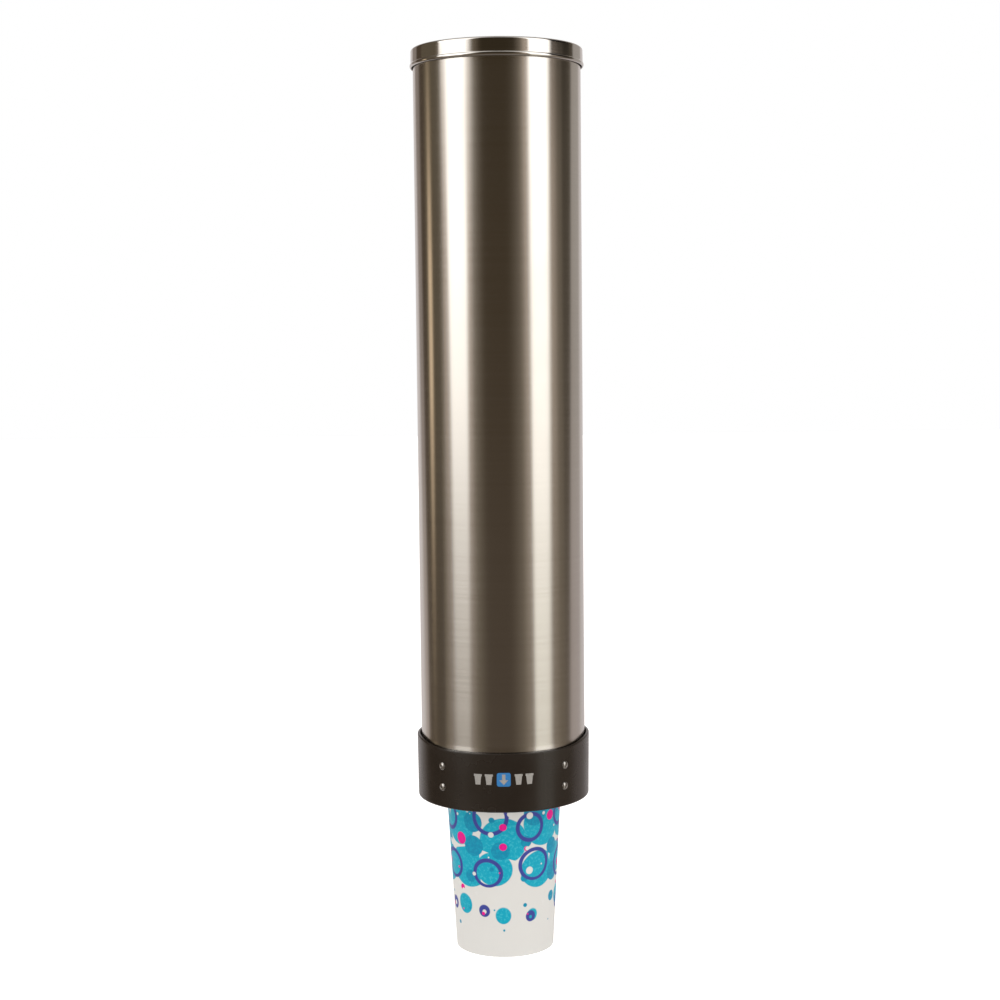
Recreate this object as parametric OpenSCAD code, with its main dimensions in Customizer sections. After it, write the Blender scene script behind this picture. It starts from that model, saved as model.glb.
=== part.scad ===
// Wall-mounted pull-type cup dispenser: a steel tube that holds a stack of nested paper cups, a lift-off
// lid, a moulded collar with four spring fingers that hold the lowest cup by its rim, and a wall plate
// with two hooks that the tube hangs on. Millimetres, +Z up, the front faces -Y, and the origin is the
// centre of the wall screw pattern, on the wall.

/* [Tube] */
// Outside diameter of the tube
tube_d = 127; // [120:1:140]
// Wall of the tube
tube_wall = 0.8; // [0.6:0.1:1.2]
// Length of the tube, from its lower end to the top of its rolled edge
tube_len = 567.3; // [450:0.1:700]
// Radius of the edge rolled outwards round the top of the tube
bead_r = 0.75; // [0.7:0.05:1.2]

/* [Lid] */
// Height of the lid over its top
lid_h = 15; // [12:0.5:24]
// Sheet of the lid
lid_wall = 0.6; // [0.5:0.1:0.9]
// Outside radius of the lid's pressed corner
lid_corner_r = 1.8; // [1.5:0.1:2.5]
// Height of the hem folded round the foot of the skirt
hem_h = 3; // [2.5:0.1:5]
// How far the hem stands out from the skirt
hem_out = 0.7; // [0.5:0.1:1]
// How far the top is crowned
lid_crown = 1.2; // [0.5:0.1:2]

/* [Collar] */
// Height of the collar
collar_h = 45; // [43:1:60]
// Wall of the collar at its top
collar_wall = 3.2; // [3:0.1:5]
// How much the moulded collar draws in from its top to its foot, on the radius
collar_draft = 0.5; // [0.2:0.1:0.8]
// Thickness of the flange under the tube
flange_t = 3; // [2:0.1:4]
// Opening in the flange that the cups leave through
outlet_d = 112; // [108:1:116]
// Rounding of the collar's lower outer edge
collar_foot_r = 1.6; // [1:0.1:2.5]

/* [Spring fingers] */
// Angle of a pair of fingers from the middle of the front or of the back
finger_turn = 44; // [40:1:50]
// Width of a finger along the tube's wall, in degrees
finger_angle = 13; // [9:0.5:18]
// Thickness of a finger's strip
finger_t = 0.8; // [0.5:0.1:1]
// Height of the lower rivet above the collar's underside
rivet_low = 16; // [15:0.5:20]
// Distance from the lower rivet to the upper one
rivet_pitch = 16; // [14:0.5:20]
// How far below the horizontal the tip's ledge slopes
ledge_angle = 51; // [42:1:58]

/* [Rivets] */
// Diameter of a rivet's shank
rivet_d = 3.2; // [2.8:0.1:4]
// Diameter of a rivet's domed head
rivet_head_d = 6.4; // [5.6:0.1:8]
// Height of a rivet's domed head
rivet_head_h = 1.2; // [0.8:0.1:1.6]

/* [Cups] */
// Height of a cup
cup_h = 140; // [120:1:170]
// Outside diameter of a cup at its base
cup_base_d = 75.8; // [70:0.2:80]
// Outside diameter of a cup's wall just under its rim
cup_mouth_d = 91.2; // [88:0.2:94]
// Thickness of the paper
paper = 0.5; // [0.4:0.05:0.7]
// Radius of the rolled rim
curl_r = 1.6; // [1.3:0.1:1.9]
// Height of the floor above the foot of a cup
floor_recess = 12; // [9:0.5:14]
// Height of the lowest cup's rim above the collar's underside
rim_z = 20; // [19:0.5:22]

/* [Wall mounting] */
// Width of the wall plate
plate_w = 46; // [40:1:60]
// Length of the wall plate
plate_len = 356; // [340:1:400]
// Sheet of the wall plate
plate_t = 1.5; // [1.2:0.1:2]
// Diameter of the wall screw holes
screw_hole_d = 5.5; // [4.5:0.1:6]
// Distance from the plate's sides to the wall screw holes
screw_side = 10; // [8:0.5:14]
// Distance from the plate's ends to the wall screw holes
screw_end = 13; // [8:0.5:20]
// Width of a hook
hook_w = 16; // [12:1:18]
// Length of a hook's upright tongue
tongue_h = 17; // [14:0.5:20]
// Distance from the plate's ends to the middle of its hooks
hook_end = 53; // [45:1:80]
// Height of a hanger strap
hanger_h = 22; // [18:1:26]
// Sheet of a hanger strap
hanger_t = 1.2; // [1:0.1:1.5]

/* [Hidden] */

$fn = 128;
eps = 0.01;               // overlap that joins the pieces of one solid
close_fit = 0.1;          // gap between two parts that are fastened together
seat_gap = 0.3;           // gap where one part rests on another
hole_play = 0.05;         // radial play of a rivet in its hole

// Tube, collar and lid
tube_r = tube_d / 2;
bore_r = tube_r - tube_wall;
tube_z0 = flange_t + close_fit;
tube_z1 = tube_z0 + tube_len;
bead_centre_r = tube_r + bead_r - tube_wall;
collar_in_r = tube_r + close_fit + hole_play;
collar_r = collar_in_r + collar_wall;
collar_top_r = 0.8;       // rounding of the collar's upper outer edge
lead_in_w = 1.2;          // chamfer inside the collar's upper edge
lead_in_h = 2.4;
flange_edge_r = 0.8;
lid_play = 0.35;          // gap between the lid's skirt and the rolled edge
lid_in_r = bead_centre_r + bead_r + lid_play;
lid_r = lid_in_r + lid_wall;
lid_z1 = tube_z1 + seat_gap + lid_wall + lid_crown;
lid_z0 = lid_z1 - lid_h;
crown_w = 9;              // width of the flat rim round the lid's crown
hem_foot_r = 0.8;         // rounding of the hem's lower outer edge
hem_head_r = 0.6;         // rounding of the hem's upper outer edge

// Rivets
rivet_hole_r = rivet_d / 2 + hole_play;
rivet_tail_r = 0.72 * rivet_d;
rivet_tail_h = 0.4 * rivet_d;
rivet_tail_taper = 0.6;
rivet_high = rivet_low + rivet_pitch;
finger_turns = [for (a = [-finger_turn, finger_turn, 180 + finger_turn, 180 - finger_turn]) a - 90];

// Cups
cup_base_r = cup_base_d / 2;
cup_mouth_r = cup_mouth_d / 2;
cup_taper = (cup_mouth_r - cup_base_r) / cup_h;
nest_gap = 0.3;           // gap between the walls of two nested cups
cup_pitch = max(floor_recess + paper + nest_gap, (paper + nest_gap) / cup_taper);
curl_centre_r = cup_mouth_r - paper + curl_r;
curl_z = rim_z - curl_r;  // centre of the lowest cup's rolled rim
curl_start = 150;         // where the paper leaves the wall into the rolled rim, in degrees
curl_step = 15;
curl_end = -45;           // where the paper's rolled edge ends
cup_count = 6;

// Spring fingers: a base riveted inside the tube, a bend over the top and an arm that slopes in to a ledge
finger_base_r = bore_r - close_fit - finger_t / 2;
finger_margin = rivet_head_d / 2 + rivet_d / 2;
finger_foot_z = rivet_low - finger_margin;
finger_top_z = rivet_high + finger_margin;
finger_bend_r = 1.9;
finger_top_flat = 1;      // straight piece between the two bends at a finger's top
ledge_len = 7.4;
ledge_below = 3.5;        // part of the ledge below the rim's seat
ledge_top_r = 3;
ledge_tip_r = 1.2;
nose_step = [0.9, -2.6];  // from the ledge's tip to the end of the strip
ledge_dir = [cos(ledge_angle), sin(ledge_angle)];
ledge_seat = [curl_centre_r, curl_z] + (curl_r + seat_gap + finger_t / 2) * [ledge_dir.y, -ledge_dir.x];
ledge_tip = ledge_seat - ledge_below * ledge_dir;
ledge_top = ledge_tip + ledge_len * ledge_dir;
nose = ledge_tip + nose_step;

// Wall mounting, measured from the wall towards the tube
wall_clearance = 3.3;     // gap between the collar and the wall
axis_y = collar_r + wall_clearance;
tube_back = axis_y - tube_r;
strap_gap = 0.4;
strap_y = plate_t + strap_gap + hanger_t / 2;
tongue_y = strap_y + hanger_t / 2 + strap_gap + plate_t / 2;
hook_root_h = 2;          // upright part of a hook below its slope
hook_slope_h = 5;
hook_bend_r = 1.5;
window_over = 2;          // room above a hook in the plate's window
window_play = 1.2;        // room beside a hook in the plate's window
hook_h = hook_root_h + hook_slope_h + tongue_h;
origin_z = (tube_z0 + tube_z1) / 2;   // height of the wall screw pattern's centre above the underside
screw_dx = plate_w - 2 * screw_side;
screw_dz = plate_len - 2 * screw_end;
hook_pitch = plate_len - 2 * hook_end;
hook_z = [for (side = [-1, 1]) side * hook_pitch / 2 - hook_h / 2];
hook_slope = [tongue_y - plate_t / 2, hook_slope_h];
hook_slope_n = [-hook_slope.y, hook_slope.x] / norm(hook_slope);
strap_face_y = strap_y + hanger_t / 2;
strap_seat_z = hook_root_h + (strap_face_y - plate_t / 2 - hook_slope_n.x * plate_t / 2)
    * hook_slope.y / hook_slope.x + hook_slope_n.y * plate_t / 2 + seat_gap;
strap_margin = 4.5;       // how far the flat of a strap goes beside its hook
wing_step = 5;            // how far out a strap reaches the tube's wall beyond its flat
wing_angle = 9;           // width of a strap's wing along the tube's wall, in degrees
wing_rivet_shift = 0.6;
strap_half = hook_w / 2 + strap_margin;
wing_r = tube_r + close_fit + hanger_t / 2;
wing_from = asin((strap_half + wing_step) / wing_r);
wing_to = wing_from + wing_angle;
wing_rivet_turn = (wing_from + wing_to) / 2 + wing_rivet_shift;
plate_corner_r = 4;

// Radius of the collar's outer face at height z
function collar_face_r(z) = collar_r - collar_draft * (1 - z / collar_h);

// A unit vector
function unit(v) = v / norm(v);

// Arc of radius r that rounds the corner b between a and c, in n steps
function corner_arc(a, b, c, r, n) =
    let (
        u = unit(a - b),
        v = unit(c - b),
        half = acos(u * v) / 2,
        centre = b + unit(u + v) * r / sin(half),
        p = b + u * r / tan(half) - centre,
        q = b + v * r / tan(half) - centre,
        from = atan2(p.y, p.x),
        turn = (atan2(q.y, q.x) - from + 540) % 360 - 180
    )
    [for (i = [0 : n]) centre + r * [cos(from + turn * i / n), sin(from + turn * i / n)]];

// Outline through points [x, y, corner radius]; an open path keeps its two ends
function rounded(points, closed = true, n = 6) =
    let (m = len(points), at = function(i) let (p = points[(i + m) % m]) [p.x, p.y])
    [
        for (i = [0 : m - 1])
            let (r = points[i].z, end = !closed && (i == 0 || i == m - 1))
            each (r > 0 && !end ? corner_arc(at(i - 1), at(i), at(i + 1), r, n) : [at(i)])
    ];

// Points of a path moved sideways by d, to its left
function beside(path, d) =
    [
        for (i = [0 : len(path) - 1])
            let (
                a = i > 0 ? unit(path[i] - path[i - 1]) : unit(path[1] - path[0]),
                b = i < len(path) - 1 ? unit(path[i + 1] - path[i]) : a,
                mid = unit(a + b)
            )
            path[i] + d / (mid * a) * [-mid.y, mid.x]
    ];

// Outline of a strip of thickness t that follows a path
function strip(path, t) =
    let (back = beside(path, -t / 2))
    concat(beside(path, t / 2), [for (i = [len(back) - 1 : -1 : 0]) back[i]]);

// Puts what is drawn round the tube's axis, above the collar's underside, in its place before the wall
module on_wall() {
    translate([0, -axis_y, -origin_z]) children();
}

// Moves its children out along a radius of the tube at the angle turn and height z
module radial(turn, z) {
    rotate([0, 0, turn]) translate([0, 0, z]) rotate([0, 90, 0]) children();
}

// Blind rivet along +Z whose head sits on z = head_at and whose tail grips at z = tail_at
module rivet(head_at, tail_at) {
    dome_r = (pow(rivet_head_d / 2, 2) + pow(rivet_head_h, 2)) / (2 * rivet_head_h);
    intersection() {
        translate([0, 0, head_at + rivet_head_h - dome_r]) sphere(dome_r);
        translate([0, 0, head_at]) cylinder(h = 2 * rivet_head_h, d = rivet_head_d);
    }
    translate([0, 0, tail_at - eps]) cylinder(h = head_at - tail_at + 2 * eps, d = rivet_d);
    translate([0, 0, tail_at - rivet_tail_h])
        cylinder(h = rivet_tail_h, r1 = rivet_tail_taper * rivet_tail_r, r2 = rivet_tail_r);
}

module tube() {
    color("silver") difference() {
        rotate_extrude() {
            translate([bore_r, tube_z0]) square([tube_wall, tube_len - bead_r]);
            translate([bead_centre_r, tube_z1 - bead_r]) circle(bead_r);
        }
        for (turn = finger_turns, z = [rivet_low, rivet_high])
            radial(turn, z) cylinder(h = collar_r, r = rivet_hole_r);
        for (side = [-1, 1], z = hook_z)
            radial(90 + side * wing_rivet_turn, origin_z + z + strap_seat_z + hanger_h / 2)
                cylinder(h = collar_r, r = rivet_hole_r);
    }
}

module lid() {
    crown_r = lid_r - lid_corner_r - crown_w;
    outside = [
        [0, lid_z1, 0],
        [crown_r, lid_z1, 0],
        [crown_r + 2 * lid_crown, lid_z1 - lid_crown, 0],
        [lid_r, lid_z1 - lid_crown, lid_corner_r],
        [lid_r, lid_z0 + hem_h + hem_out / 2, 0],
        [lid_r + hem_out, lid_z0 + hem_h - hem_out / 2, hem_head_r],
        [lid_r + hem_out, lid_z0, hem_foot_r],
        [lid_in_r, lid_z0, 0],
        [lid_in_r, lid_z1 - lid_crown - lid_wall, lid_corner_r - lid_wall],
        [crown_r + 2 * lid_crown, lid_z1 - lid_crown - lid_wall, 0],
        [crown_r, lid_z1 - lid_wall, 0],
        [0, lid_z1 - lid_wall, 0]
    ];
    color("gainsboro") rotate_extrude() polygon(rounded(outside));
}

module collar() {
    section = [
        [outlet_d / 2, 0, flange_edge_r],
        [collar_face_r(0), 0, collar_foot_r],
        [collar_r, collar_h, collar_top_r],
        [collar_in_r + lead_in_w, collar_h, 0],
        [collar_in_r, collar_h - lead_in_h, 0],
        [collar_in_r, flange_t, 0],
        [outlet_d / 2, flange_t, flange_edge_r]
    ];
    color([0.16, 0.14, 0.12]) difference() {
        rotate_extrude() polygon(rounded(section));
        for (turn = finger_turns, z = [rivet_low, rivet_high])
            radial(turn, z) cylinder(h = 2 * collar_r, r = rivet_hole_r);
    }
}

module collar_rivets() {
    color("lightgray") for (turn = finger_turns, z = [rivet_low, rivet_high])
        radial(turn, z) rivet(collar_face_r(z) + close_fit, finger_base_r - finger_t / 2 - close_fit);
}

// Spring strip number i: its riveted base, the bend at its top, the sloping arm, the ledge and the nose
module finger(i) {
    path = rounded([
        [finger_base_r, finger_foot_z, 0],
        [finger_base_r, finger_top_z, finger_bend_r],
        [finger_base_r - 2 * finger_bend_r - finger_top_flat, finger_top_z, finger_bend_r],
        [ledge_top.x, ledge_top.y, ledge_top_r],
        [ledge_tip.x, ledge_tip.y, ledge_tip_r],
        [nose.x, nose.y, 0]
    ], closed = false);
    color("lightsteelblue") difference() {
        rotate([0, 0, finger_turns[i] - finger_angle / 2])
            rotate_extrude(angle = finger_angle) polygon(strip(path, finger_t));
        for (z = [rivet_low, rivet_high])
            radial(finger_turns[i], z) translate([0, 0, finger_base_r - finger_t])
                cylinder(h = 2 * finger_t, r = rivet_hole_r);
    }
}

// Paper cup number i, counted up from the lowest: a wall with a rolled rim, and a floor folded down in it
module cup(i) {
    curl = [curl_centre_r, cup_h - curl_r];
    wall_r = function(z) cup_base_r + cup_taper * z - paper / 2;
    path = concat(
        [[wall_r(0), 0], [wall_r(cup_h - curl_r), cup_h - curl_r]],
        [for (a = [curl_start : -curl_step : curl_end]) curl + (curl_r - paper / 2) * [cos(a), sin(a)]]
    );
    inside = beside(path, paper / 2);
    outside = beside(path, -paper / 2);
    n = len(path) - 1;
    in_r = function(z) cup_base_r + cup_taper * z - paper;
    color("white") translate([0, 0, rim_z - cup_h + i * cup_pitch]) rotate_extrude() polygon(concat(
        [[0, floor_recess], [in_r(floor_recess), floor_recess]],
        [for (k = [1 : n]) inside[k]],
        [for (k = [n : -1 : 1]) outside[k]],
        [[cup_base_r, 0], [in_r(0) - paper, 0]],
        [[in_r(floor_recess) - paper, floor_recess - paper], [0, floor_recess - paper]]
    ));
}

// Strap number i across the back of the tube, whose wings are riveted on and whose middle hangs on a hook
module hanger(i) {
    path = concat(
        [for (a = [wing_to : -3 : wing_from]) [-wing_r * sin(a), axis_y - wing_r * cos(a)]],
        [[-strap_half, strap_y], [strap_half, strap_y]],
        [for (a = [wing_from : 3 : wing_to]) [wing_r * sin(a), axis_y - wing_r * cos(a)]]
    );
    bottom = origin_z + hook_z[i] + strap_seat_z;
    color("silver") difference() {
        translate([0, axis_y, bottom]) mirror([0, 1, 0])
            linear_extrude(hanger_h) polygon(strip(path, hanger_t));
        for (side = [-1, 1])
            radial(90 + side * wing_rivet_turn, bottom + hanger_h / 2)
                cylinder(h = collar_r, r = rivet_hole_r);
    }
}

module hanger_rivets() {
    color("lightgray") for (side = [-1, 1], z = hook_z)
        radial(90 + side * wing_rivet_turn, origin_z + z + strap_seat_z + hanger_h / 2)
            rivet(wing_r + hanger_t / 2 + close_fit, bore_r - close_fit);
}

// Flat plate, screwed to the wall, whose two hooks are cut out of it and bent forward and up
module wall_plate() {
    hook = rounded([
        [plate_t / 2, -hook_root_h, 0],
        [plate_t / 2, hook_root_h, hook_bend_r],
        [tongue_y, hook_root_h + hook_slope_h, hook_bend_r],
        [tongue_y, hook_h, 0]
    ], closed = false);
    half = [plate_w / 2 - plate_corner_r, plate_len / 2 - plate_corner_r];
    window_w = hook_w + 2 * window_play;
    color("gray") {
        difference() {
            rotate([90, 0, 0]) {
                linear_extrude(plate_t) square([plate_w, 2 * half.y], center = true);
                linear_extrude(plate_t) square([2 * half.x, plate_len], center = true);
                for (sx = [-1, 1], sz = [-1, 1])
                    translate([sx * half.x, sz * half.y]) cylinder(h = plate_t, r = plate_corner_r);
            }
            for (z = hook_z)
                translate([-window_w / 2, -2 * plate_t, z])
                    cube([window_w, 3 * plate_t, hook_h + window_over]);
            for (sx = [-1, 1], sz = [-1, 1])
                translate([sx * screw_dx / 2, plate_t, sz * screw_dz / 2]) rotate([90, 0, 0])
                    cylinder(h = 3 * plate_t, d = screw_hole_d);
        }
        for (z = hook_z)
            translate([hook_w / 2, 0, z]) rotate([90, 0, -90])
                linear_extrude(hook_w) polygon(strip(hook, plate_t));
    }
}

wall_plate();
on_wall() tube();
on_wall() lid();
on_wall() collar();
on_wall() collar_rivets();
on_wall() finger(0);  // finger_front_left
on_wall() finger(1);  // finger_front_right
on_wall() finger(2);  // finger_rear_left
on_wall() finger(3);  // finger_rear_right
on_wall() hanger(1);  // hanger_upper
on_wall() hanger(0);  // hanger_lower
on_wall() hanger_rivets();
on_wall() cup(0);  // cup_1
on_wall() cup(1);  // cup_2
on_wall() cup(2);  // cup_3
on_wall() cup(3);  // cup_4
on_wall() cup(4);  // cup_5
on_wall() cup(5);  // cup_6
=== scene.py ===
import math

import bmesh
import bpy
from mathutils import Matrix, Vector


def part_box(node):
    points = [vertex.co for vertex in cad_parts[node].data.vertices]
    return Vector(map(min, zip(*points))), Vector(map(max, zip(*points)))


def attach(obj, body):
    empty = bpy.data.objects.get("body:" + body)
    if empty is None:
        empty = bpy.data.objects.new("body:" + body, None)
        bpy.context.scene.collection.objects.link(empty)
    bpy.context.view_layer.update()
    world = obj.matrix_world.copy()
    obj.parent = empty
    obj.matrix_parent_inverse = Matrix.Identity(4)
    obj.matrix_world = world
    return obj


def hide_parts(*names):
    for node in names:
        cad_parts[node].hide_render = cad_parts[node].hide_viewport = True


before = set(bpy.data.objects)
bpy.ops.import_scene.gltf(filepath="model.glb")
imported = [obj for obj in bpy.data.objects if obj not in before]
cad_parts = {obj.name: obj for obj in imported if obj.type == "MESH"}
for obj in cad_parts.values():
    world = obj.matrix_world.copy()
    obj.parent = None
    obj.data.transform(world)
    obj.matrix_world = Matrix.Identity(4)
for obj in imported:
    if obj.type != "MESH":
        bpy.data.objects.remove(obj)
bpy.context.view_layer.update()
scene = bpy.context.scene
scene.view_settings.view_transform = "Standard"

# Lengths in the dictionaries are millimetres, and heights count up from the collar's underside
mm = 0.001
collarLow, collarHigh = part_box("collar")
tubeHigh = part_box("tube")[1]
lidLow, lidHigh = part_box("lid")
axisX, axisY, footZ = (collarLow.x + collarHigh.x) / 2, (collarLow.y + collarHigh.y) / 2, collarLow.z
tubeTop, lidTop, lidFoot = ((z - footZ) / mm for z in (tubeHigh.z, lidHigh.z, lidLow.z))
print("frame loaded,", len(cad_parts), "nodes, tube top at", round(tubeTop, 2), "mm")


# Shapes turned round the tube's axis. "support" sets the extra rings on a straight run: how far they stand
# from its ends, the longest stretch between two of them, the shortest run that gets any, and how far a run
# keeps clear of a rolled edge. "sharp" is the turn in degrees past which an edge is drawn sharp. Points of a
# mesh that are closer than "merged", in metres, become one. Arcs are a first angle, a last one and a step.
support = {"inset": 0.3, "longest": 30.0, "shortest": 1.6, "clear": 0.4}
sharp = {"turned": 38.0, "rows": 42.0, "sheets": 30.0}
merged = {"close": 1e-7, "wide": 1e-6}


def softPath(points, closed=True, steps=6):
    # points are (radius, height, corner radius); each straight run gets a ring close to both its ends
    count = len(points)
    corners = []
    for i, (r, z, soft) in enumerate(points):
        here = Vector((r, z))
        if soft <= 0 or (not closed and i in (0, count - 1)):
            corners.append([here])
            continue
        before, after = Vector(points[i - 1][:2]), Vector(points[(i + 1) % count][:2])
        u, v = (before - here).normalized(), (after - here).normalized()
        half = math.acos(max(-1, min(1, u.dot(v)))) / 2
        centre = here + (u + v).normalized() * soft / math.sin(half)
        start = here + u * soft / math.tan(half) - centre
        end = here + v * soft / math.tan(half) - centre
        first = math.atan2(start.y, start.x)
        turn = (math.atan2(end.y, end.x) - first + 3 * math.pi) % (2 * math.pi) - math.pi
        angles = [first + turn * k / steps for k in range(steps + 1)]
        corners.append([centre + soft * Vector((math.cos(a), math.sin(a))) for a in angles])
    path = []
    for i in range(count if closed else count - 1):
        path += corners[i]
        a, b = corners[i][-1], corners[(i + 1) % count][0]
        length = (b - a).length
        if length > support["shortest"]:
            runs = math.ceil(length / support["longest"])
            inset = support["inset"]
            marks = [inset] + [length * k / runs for k in range(1, runs)] + [length - inset]
            path += [a + (b - a) * m / length for m in marks]
    return path if closed else path + corners[-1]


def arc(centre, across, up, first, last, step):
    # points of an ellipse's arc, by angles in degrees
    count = max(1, round(abs(last - first) / step))
    angles = [math.radians(first + (last - first) * k / count) for k in range(count + 1)]
    return [Vector((centre[0] + across * math.cos(a), centre[1] + up * math.sin(a))) for a in angles]


def placed(name, data):
    obj = bpy.data.objects.new(name, data)
    scene.collection.objects.link(obj)
    return obj


def smoothed(mesh, turn):
    mesh.polygons.foreach_set("use_smooth", [True] * len(mesh.polygons))
    mesh.set_sharp_from_angle(angle=math.radians(turn))


def turned(name, path, steps=256, closed=True, shape=None, slotOf=None):
    # turns a path of (radius, height), walked anticlockwise, with its seam at the back
    places, rings, faces, around, slots = [], [], [], [], []
    lengths = [0.0]
    for a, b in zip(path, list(path[1:]) + [path[0]]):
        lengths.append(lengths[-1] + (Vector(b) - Vector(a)).length * mm)
    for r, z in path:
        if r <= 0:
            rings.append([len(places)] * steps)
            places.append((axisX, axisY, footZ + z * mm))
            continue
        ring = []
        for k in range(steps):
            angle = math.pi / 2 + 2 * math.pi * k / steps
            far, up = shape(r, z, k / steps) if shape else (r, z)
            ring.append(len(places))
            places.append((axisX + far * mm * math.cos(angle), axisY + far * mm * math.sin(angle),
                           footZ + up * mm))
        rings.append(ring)
    for i in range(len(path) if closed else len(path) - 1):
        low, high = rings[i], rings[(i + 1) % len(path)]
        if low[0] == low[-1] and high[0] == high[-1]:
            continue
        for k in range(steps):
            n = (k + 1) % steps
            face, uv = [], []
            for ring, at, u, v in ((low, k, k, i), (low, n, k + 1, i),
                                   (high, n, k + 1, i + 1), (high, k, k, i + 1)):
                if ring[at] not in face:
                    face.append(ring[at])
                    uv.append(((k + 0.5 if ring[0] == ring[-1] else u) / steps, lengths[v]))
            faces.append(face)
            around.append(uv)
            slots.append(slotOf(i) if slotOf else 0)
    mesh = bpy.data.meshes.new(name)
    mesh.from_pydata(places, [], faces)
    layer = mesh.uv_layers.new(name="UVMap")
    layer.data.foreach_set("uv", [c for uv in around for pair in uv for c in pair])
    mesh.polygons.foreach_set("material_index", slots)
    smoothed(mesh, sharp["turned"])
    mesh.validate()
    return placed(name, mesh)


def dress(obj, body, slot, materials, *nodes):
    indices = [face.material_index for face in obj.data.polygons]
    obj.data.materials.clear()
    for material in materials:
        obj.data.materials.append(material)
    obj.data.polygons.foreach_set("material_index", indices)
    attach(obj, body)
    if nodes:
        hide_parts(*nodes)
    return obj


# Node helpers, for shader and geometry trees alike
def fill(tree, node, inputs):
    for key, value in inputs.items():
        if isinstance(value, bpy.types.NodeSocket):
            tree.links.new(value, node.inputs[key])
        else:
            node.inputs[key].default_value = value


def put(tree, kind, inputs=None, **settings):
    node = tree.nodes.new(kind)
    for key, value in settings.items():
        setattr(node, key, value)
    fill(tree, node, inputs or {})
    return node


def output(tree, kind, inputs=None, **settings):
    return put(tree, kind, inputs, **settings).outputs[0]


def calc(tree, operation, a, b=0.0, c=0.0):
    return output(tree, "ShaderNodeMath", {0: a, 1: b, 2: c}, operation=operation)


def times(tree, a, b):
    return calc(tree, "MULTIPLY", a, b)


def between(tree, value, fromLow, fromHigh, toLow, toHigh, kind="LINEAR"):
    inputs = {"Value": value, "From Min": fromLow, "From Max": fromHigh, "To Min": toLow, "To Max": toHigh}
    return output(tree, "ShaderNodeMapRange", inputs, interpolation_type=kind)


def blendColour(tree, share, a, b, kind="MIX"):
    # the node's colours are its inputs 6 and 7 and its output 2
    a, b = (c if isinstance(c, bpy.types.NodeSocket) else (*c, 1.0) for c in (a, b))
    return put(tree, "ShaderNodeMix", {0: share, 6: a, 7: b}, data_type="RGBA", blend_type=kind).outputs[2]


def noise(tree, coords, scale, detail=3.0, rough=0.6):
    inputs = {"Vector": coords or objectPlace(tree), "Scale": scale, "Detail": detail, "Roughness": rough}
    return output(tree, "ShaderNodeTexNoise", inputs)


def curveThrough(tree, value, points, straight=False):
    # points run from (0, level) to (1, level)
    node = put(tree, "ShaderNodeFloatCurve", {"Value": value})
    marks = node.mapping.curves[0].points
    marks[0].location, marks[1].location = points[0], points[-1]
    for x, level in points[1:-1]:
        marks.new(x, level)
    for mark in marks:
        mark.handle_type = "VECTOR" if straight else "AUTO"
    node.mapping.update()
    return node.outputs[0]


def startMaterial(name):
    material = bpy.data.materials.new(name)
    material.use_nodes = True
    tree = material.node_tree
    tree.nodes.clear()
    skin = put(tree, "ShaderNodeBsdfPrincipled")
    put(tree, "ShaderNodeOutputMaterial", {"Surface": skin.outputs[0]})
    return material, tree, skin


def objectPlace(tree):
    return put(tree, "ShaderNodeTexCoord").outputs["Object"]


def fromAxis(tree):
    # x, y and z measured from the middle of the collar's underside
    inputs = {"Vector": objectPlace(tree), "Location": (-axisX, -axisY, -footZ)}
    return put(tree, "ShaderNodeSeparateXYZ", {0: output(tree, "ShaderNodeMapping", inputs)}).outputs


def roundTheAxis(tree, along, across):
    # coordinates that stretch a noise along circles round the tube's axis, on walls and flat tops alike
    x, y, z = fromAxis(tree)
    far = calc(tree, "SQRT", calc(tree, "MULTIPLY_ADD", x, x, times(tree, y, y)))
    level = times(tree, calc(tree, "SUBTRACT", z, far), across)
    inputs = {0: times(tree, x, along), 1: times(tree, y, along), 2: level}
    return output(tree, "ShaderNodeCombineXYZ", inputs)


def bumped(tree, skin, height, strength, depth):
    bump = put(tree, "ShaderNodeBump", {"Height": height, "Strength": strength, "Distance": depth * mm})
    tree.links.new(bump.outputs[0], skin.inputs["Normal"])


# Finishes. Nearly all of a noise's values lie within noiseSpan, and "spans" has the levels between which a
# stain, a smudge's haze, a scuff or a thin place in ink comes up. "bump" is a strength and a depth in
# millimetres. Brushed grain is a mix of three layers, each with its scale along and across the brushing, its
# detail and roughness, and its share of the whole.
noiseSpan = (0.3, 0.7)
spans = {"stain": (0.45, 0.75), "haze": (0.4, 0.7), "scuff": (0.5, 0.9), "thin": (0.5, 0.72)}
fineDetail, softRough, patchRough = 4.0, 0.5, 0.55
patchSwing = 0.05    # of roughness, up and down
brushTurn = 0.25    # of a full turn
grainLayers = {"streaks": {"along": 1.0, "across": 1.0, "detail": 4.0, "rough": 0.62, "share": 0.45},
               "scores": {"along": 1.3, "across": 0.3, "detail": 3.0, "rough": 0.7, "share": 0.35},
               "bands": {"along": 0.5, "across": 0.08, "detail": 2.0, "rough": 0.5, "share": 0.2}}


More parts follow.
